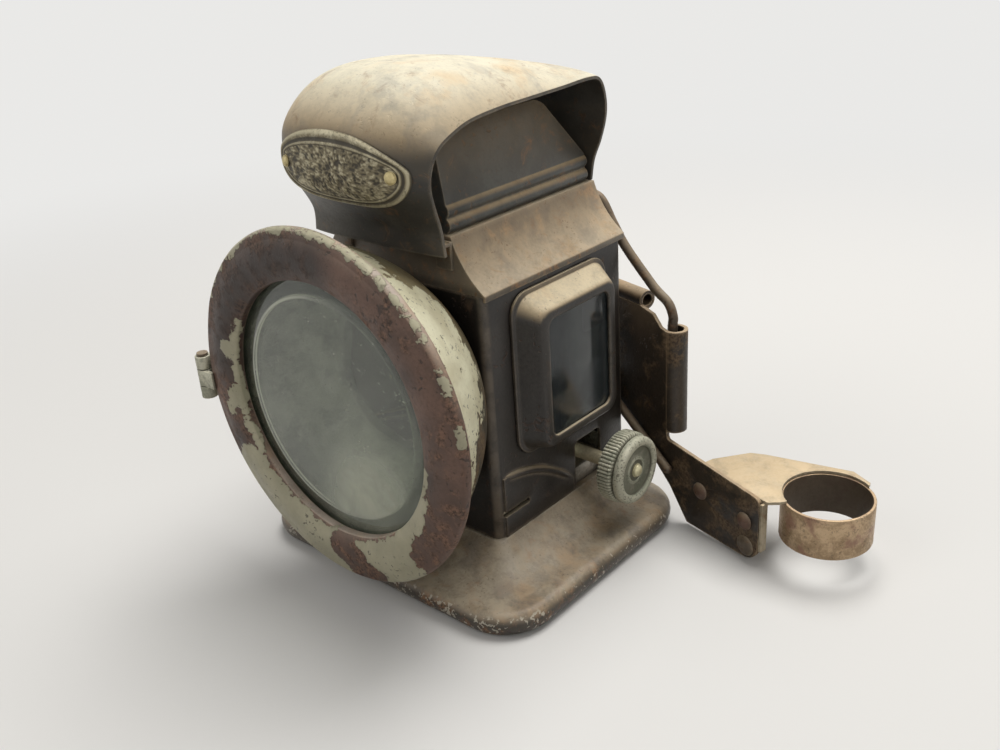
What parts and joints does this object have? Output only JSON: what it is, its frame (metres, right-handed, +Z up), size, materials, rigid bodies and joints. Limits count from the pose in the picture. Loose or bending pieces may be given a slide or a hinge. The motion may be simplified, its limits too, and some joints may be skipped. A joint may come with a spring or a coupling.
{
  "type": "bicycle oil lamp",
  "caption": "Square sheet-metal bicycle oil lamp with a flared bell and hinged glazed bezel, a bowed chimney hood, side windows, a wick winder and a swinging clip bracket.",
  "frame": {"origin": "on the table under the centre of the square case, at the font's flat bottom", "axes": "+Z up, the bezel faces -Y, +X towards the winder's knob and the clip"},
  "size_m": [0.1525, 0.1023, 0.1316],
  "materials": {
    "japan": "worn black japan over sheet steel, with rust",
    "hood_paint": "thin cream paint over rust",
    "roof_paint": "rubbed grey-brown paint",
    "bell_paint": "flaking cream paint",
    "bezel_paint": "purple-brown rust with cream flakes",
    "font_paint": "dull grey-brown with worn edges",
    "badge_metal": "dark aged brass",
    "aged_brass": "dull brass",
    "verdigris": "grey-green aged brass",
    "copper": "aged copper-brass sheet",
    "wire": "browned steel wire",
    "bracket_paint": "brown-black paint with rust",
    "dull_steel": "dull steel",
    "clear_glass": "hazy clear glass",
    "tinted_glass": "dark hazy glass",
    "wick_cotton": "woven cotton, charred at the top",
    "bright_tin": "tarnished bright tin"
  },
  "bodies": {
    "font": {"oil_font": "font_paint", "font_bottom": "font_paint", "font_collar": "dull_steel", "catch_spring": "dull_steel", "catch_rivets": "dull_steel", "burner_collar": "aged_brass", "burner_plate": "aged_brass", "wick_tube": "aged_brass", "winder_bearings": "aged_brass"},
    "case": {"case_shell": "japan", "roof": "roof_paint", "chimney": "roof_paint", "hood": "hood_paint", "hood_ears": "roof_paint", "badge_plate": "badge_metal", "badge_rivets": "aged_brass", "bell": "bell_paint", "reflector": "bright_tin", "reflector_stud": "aged_brass", "window_frame_right": "japan", "window_frame_left": "japan", "side_glass_right": "tinted_glass", "side_glass_left": "tinted_glass", "glass_tabs": "dull_steel", "hinge_leaf": "verdigris", "hinge_pin": "wire", "bail_sleeve": "japan", "sleeve_rivets": "wire"},
    "door": {"bezel": "bezel_paint", "bezel_knuckle": "verdigris", "front_glass": "clear_glass", "glass_ring": "wire"},
    "winder": {"winder_spindle": "verdigris", "feed_wheels": "aged_brass", "winder_knob": "verdigris", "knob_stud": "verdigris"},
    "wick": {"wick": "wick_cotton"},
    "bail": {"bail_wire": "wire"},
    "bracket": {"bracket_plate": "bracket_paint", "stay_rod": "wire", "stay_clip": "bracket_paint", "clip_angle": "copper", "clip_ring": "copper", "clip_rivets": "copper", "clip_screw": "wire"}
  },
  "joints": [
    {"name": "case_lift", "type": "slide", "parent": "font", "child": "case", "axis": [0, 0, 1], "range_m": [0, 0.04]},
    {"name": "door_hinge", "type": "hinge", "parent": "case", "child": "door", "pos_m": [-0.0495, -0.0555, 0.052], "axis": [0, 0, -1], "range_deg": [0, 110]},
    {"name": "winder_turn", "type": "hinge", "parent": "font", "child": "winder", "pos_m": [0, 0.008, 0.0235], "axis": [1, 0, 0], "range_deg": [-100, 100]},
    {"name": "wick_feed", "type": "slide", "parent": "font", "child": "wick", "axis": [0, 0, 1], "range_m": [-0.006, 0.006]},
    {"name": "bail_swing", "type": "hinge", "parent": "case", "child": "bail", "pos_m": [0, 0.03018, 0.09], "axis": [1, 0, 0], "range_deg": [0, 90]},
    {"name": "bracket_swing", "type": "hinge", "parent": "bail", "child": "bracket", "pos_m": [0.0428, 0.0299, 0.041], "axis": [0, 0, -1], "range_deg": [0, 15]}
  ],
  "couplings": [
    {"joint": "wick_feed", "follows": "winder_turn", "m_per_rad": -0.0033}
  ]
}
